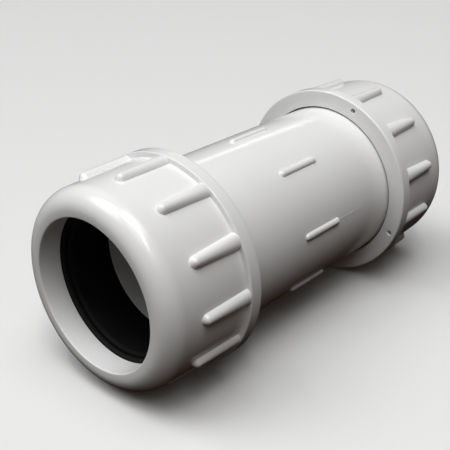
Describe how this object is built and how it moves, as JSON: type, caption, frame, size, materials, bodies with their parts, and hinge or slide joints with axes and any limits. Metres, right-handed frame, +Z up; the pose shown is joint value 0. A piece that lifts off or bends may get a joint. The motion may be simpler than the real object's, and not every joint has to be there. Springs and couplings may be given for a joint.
{
  "type": "pipe compression coupling",
  "caption": "White PVC compression coupling: a threaded tube with a ribbed nut and a rubber gasket on each end, for joining two plain pipe ends.",
  "frame": {"origin": "on the pipe axis, half way between the two nut mouths", "axes": "+X along the pipe axis out of the right nut, +Z up as the coupling lies on its side"},
  "size_m": [0.194, 0.092, 0.092],
  "materials": {
    "pvc": "moulded, glossy",
    "pvc_nut": "moulded, glossy",
    "gasket_rubber": "matte black rubber",
    "slip_plastic": "smooth dark slip plastic"
  },
  "bodies": {
    "fitting": {"coupling_body": "pvc", "left_gasket": "gasket_rubber", "right_gasket": "gasket_rubber"},
    "left_washer": {"left_thrust_washer": "slip_plastic"},
    "left_nut": {"left_nut": "pvc_nut"},
    "right_washer": {"right_thrust_washer": "slip_plastic"},
    "right_nut": {"right_nut": "pvc_nut"}
  },
  "joints": [
    {"name": "left_nut_travel", "type": "slide", "parent": "fitting", "child": "left_washer", "axis": [-1, 0, 0], "range_m": [0, 0.01251]},
    {"name": "left_nut_turn", "type": "hinge", "parent": "left_washer", "child": "left_nut", "pos_m": [-0.097, 0, 0], "axis": [-1, 0, 0], "range_deg": [0, 900]},
    {"name": "right_nut_travel", "type": "slide", "parent": "fitting", "child": "right_washer", "axis": [1, 0, 0], "range_m": [0, 0.01251]},
    {"name": "right_nut_turn", "type": "hinge", "parent": "right_washer", "child": "right_nut", "pos_m": [0.097, 0, 0], "axis": [1, 0, 0], "range_deg": [0, 900]}
  ],
  "couplings": [
    {"joint": "left_nut_travel", "follows": "left_nut_turn", "m_per_rad": 0.00079577},
    {"joint": "right_nut_travel", "follows": "right_nut_turn", "m_per_rad": 0.00079577}
  ]
}
